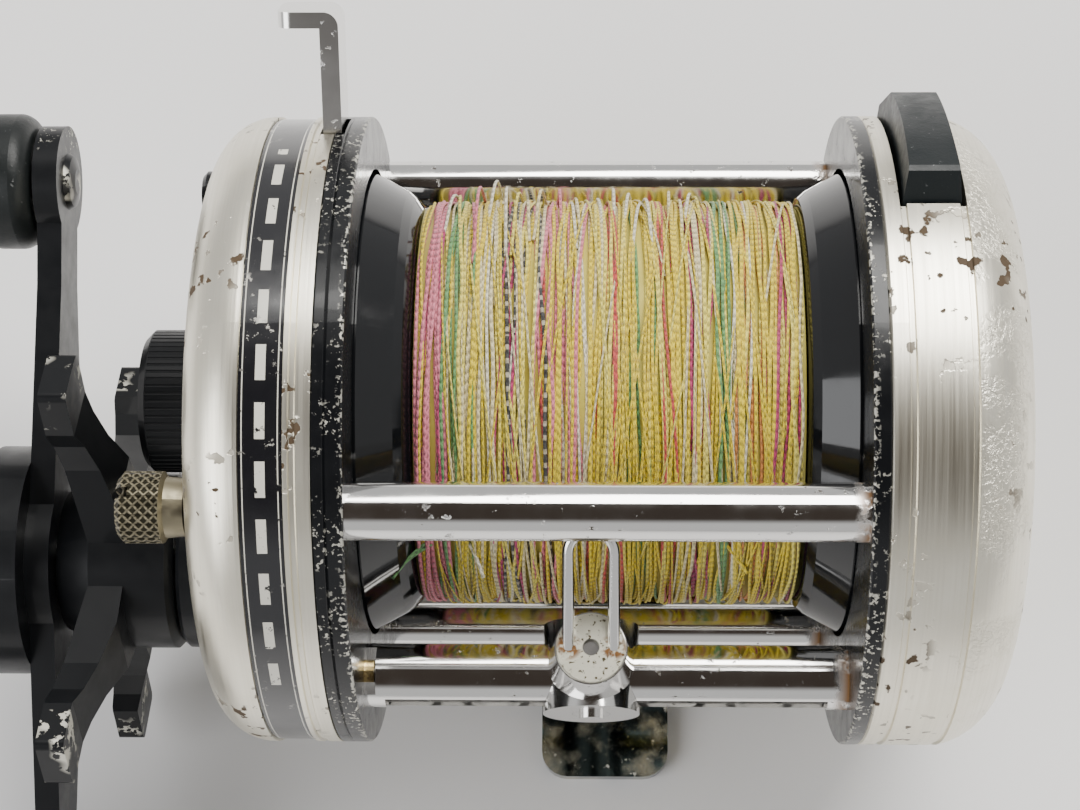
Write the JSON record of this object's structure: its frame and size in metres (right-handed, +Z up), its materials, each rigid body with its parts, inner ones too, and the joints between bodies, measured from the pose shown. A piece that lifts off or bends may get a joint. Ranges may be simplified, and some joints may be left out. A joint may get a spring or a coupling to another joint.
{
  "type": "baitcasting reel",
  "caption": "Round baitcasting fishing reel with wound line, level-wind guide, star drag, double crank handle and a flat foot.",
  "frame": {"origin": "centre of the reel foot's underside", "axes": "+X towards the palm side, -X towards the handle, -Y the front where the line leaves, +Z up out of the foot"},
  "size_m": [0.1042, 0.0846, 0.0605],
  "materials": {
    "band_black": "gloss band, scratched",
    "black_paint": "gloss, chipped at edges",
    "braid": "braided line, mixed colours",
    "brake_fibre": "pressed fibre",
    "brass": "machined",
    "button_black": "moulded, scuffed",
    "chrome": "polished, pitted",
    "drag_fibre": "pressed fibre",
    "knob_black": "moulded",
    "knurled_brass": "knurled, tarnished",
    "satin_aluminium": "satin brushed, pitted",
    "spool_black": "gloss black",
    "steel": "machined"
  },
  "bodies": {
    "frame": {"frame_ring_gear": "black_paint", "frame_ring_palm": "black_paint", "pillar_front": "chrome", "pillar_rear": "chrome", "lower_pillars": "chrome", "reel_foot": "chrome", "foot_rivets": "steel", "guard_tube": "chrome", "worm_bushings": "brass", "idler_post": "brass", "gear_plate": "black_paint", "gear_cup": "satin_aluminium", "decal_band": "band_black", "shaft_sleeve": "black_paint", "thumbscrew": "knurled_brass", "side_screws": "black_paint", "plate_posts": "steel", "bearing_gear_side": "steel", "bearing_palm_side": "steel", "palm_cup": "satin_aluminium", "brake_drum": "steel"},
    "spool_group": {"spool": "spool_black", "spool_shaft": "steel", "wound_line": "braid", "clutch_pin": "steel", "spool_gear": "brass", "click_ratchet": "steel", "brake_pins": "steel"},
    "brake_a": {"brake_block_a": "brake_fibre"},
    "brake_b": {"brake_block_b": "brake_fibre"},
    "idler": {"idler_gear": "button_black"},
    "worm": {"worm_shaft": "steel", "worm_gear": "button_black"},
    "line_guide": {"carriage": "chrome", "pawl_cap": "chrome", "guide_cap": "chrome", "line_loop": "chrome"},
    "pawl": {"pawl": "steel"},
    "handle": {"drive_shaft": "steel", "handle_arm": "black_paint", "handle_nut": "steel", "nut_cap": "black_paint", "knob_spindles": "steel", "drag_sleeve": "steel", "ratchet_wheel": "steel", "main_gear": "brass", "drag_washer": "drag_fibre", "pressure_washer": "steel", "spring_washer": "steel"},
    "star": {"star_wheel": "black_paint"},
    "knob_rear": {"knob_rear": "knob_black"},
    "knob_front": {"knob_front": "knob_black"},
    "yoke": {"clutch_yoke": "steel"},
    "pinion": {"pinion": "brass"},
    "clutch_lever": {"clutch_lever": "chrome"},
    "tension_cap": {"tension_cap": "black_paint"},
    "dog": {"reverse_dog": "steel"},
    "release_button": {"release_button": "button_black"},
    "click_slide": {"click_button": "chrome"},
    "click_pawl": {"click_pawl": "steel"}
  },
  "joints": [
    {"name": "handle_turn", "type": "hinge", "parent": "frame", "child": "handle", "pos_m": [-0.045, -0.0112, 0.0253], "axis": [1, 0, 0], "continuous": true},
    {"name": "spool_spin", "type": "hinge", "parent": "frame", "child": "spool_group", "pos_m": [0, 0.0024, 0.0323], "axis": [1, 0, 0], "continuous": true},
    {"name": "brake_a_slide", "type": "slide", "parent": "spool_group", "child": "brake_a", "axis": [0, 0, 1], "range_m": [-0.0012, 0.0003]},
    {"name": "brake_b_slide", "type": "slide", "parent": "spool_group", "child": "brake_b", "axis": [0, 0, -1], "range_m": [-0.0012, 0.0003]},
    {"name": "idler_spin", "type": "hinge", "parent": "frame", "child": "idler", "pos_m": [0.0252, -0.01066, 0.02932], "axis": [1, 0, 0], "continuous": true},
    {"name": "worm_spin", "type": "hinge", "parent": "frame", "child": "worm", "pos_m": [0, -0.0237, 0.0332], "axis": [1, 0, 0], "continuous": true},
    {"name": "line_guide_slide", "type": "slide", "parent": "frame", "child": "line_guide", "axis": [1, 0, 0], "range_m": [-0.0135, 0.0155]},
    {"name": "pawl_turn", "type": "hinge", "parent": "line_guide", "child": "pawl", "pos_m": [-0.0013, -0.0262, 0.0332], "axis": [0, 1, 0], "range_deg": [-10, 10]},
    {"name": "star_turn", "type": "hinge", "parent": "handle", "child": "star", "pos_m": [-0.043, -0.0112, 0.0253], "axis": [1, 0, 0], "range_deg": [-180, 180]},
    {"name": "knob_rear_spin", "type": "hinge", "parent": "handle", "child": "knob_rear", "pos_m": [-0.058, 0.02304, 0.03642], "axis": [1, 0, 0], "continuous": true},
    {"name": "knob_front_spin", "type": "hinge", "parent": "handle", "child": "knob_front", "pos_m": [-0.058, -0.04544, 0.01418], "axis": [1, 0, 0], "continuous": true},
    {"name": "clutch_lever_slide", "type": "slide", "parent": "frame", "child": "clutch_lever", "axis": [0, -0.788, -0.6157], "range_m": [0, 0.004]},
    {"name": "yoke_slide", "type": "slide", "parent": "frame", "child": "yoke", "axis": [-1, 0, 0], "range_m": [0, 0.0011]},
    {"name": "pinion_spin", "type": "hinge", "parent": "yoke", "child": "pinion", "pos_m": [-0.028, 0.0024, 0.0323], "axis": [1, 0, 0], "continuous": true},
    {"name": "tension_cap_turn", "type": "hinge", "parent": "frame", "child": "tension_cap", "pos_m": [-0.039, 0.0024, 0.0323], "axis": [1, 0, 0], "range_deg": [-180, 180]},
    {"name": "dog_tilt", "type": "hinge", "parent": "frame", "child": "dog", "pos_m": [-0.0252, 0.0004, 0.0179], "axis": [1, 0, 0], "range_deg": [-12, 0]},
    {"name": "release_button_slide", "type": "slide", "parent": "frame", "child": "release_button", "axis": [0, -0.6947, -0.7193], "range_m": [0, 0.0018], "stiffness_N_per_m": 250, "springref_m": -0.0005},
    {"name": "click_button_slide", "type": "slide", "parent": "frame", "child": "click_slide", "axis": [0, 0.939, -0.3439], "range_m": [0, 0.0024]},
    {"name": "click_pawl_tilt", "type": "hinge", "parent": "click_slide", "child": "click_pawl", "pos_m": [0.0273, -0.00975, 0.03675], "axis": [1, 0, 0], "range_deg": [-12, 12]}
  ],
  "couplings": [
    {"joint": "handle_turn", "follows": "spool_spin", "ratio": -0.21154},
    {"joint": "pinion_spin", "follows": "spool_spin", "ratio": 1},
    {"joint": "idler_spin", "follows": "spool_spin", "ratio": -0.21818},
    {"joint": "worm_spin", "follows": "spool_spin", "ratio": 0.92308},
    {"joint": "yoke_slide", "follows": "clutch_lever_slide", "ratio": 0.275}
  ]
}
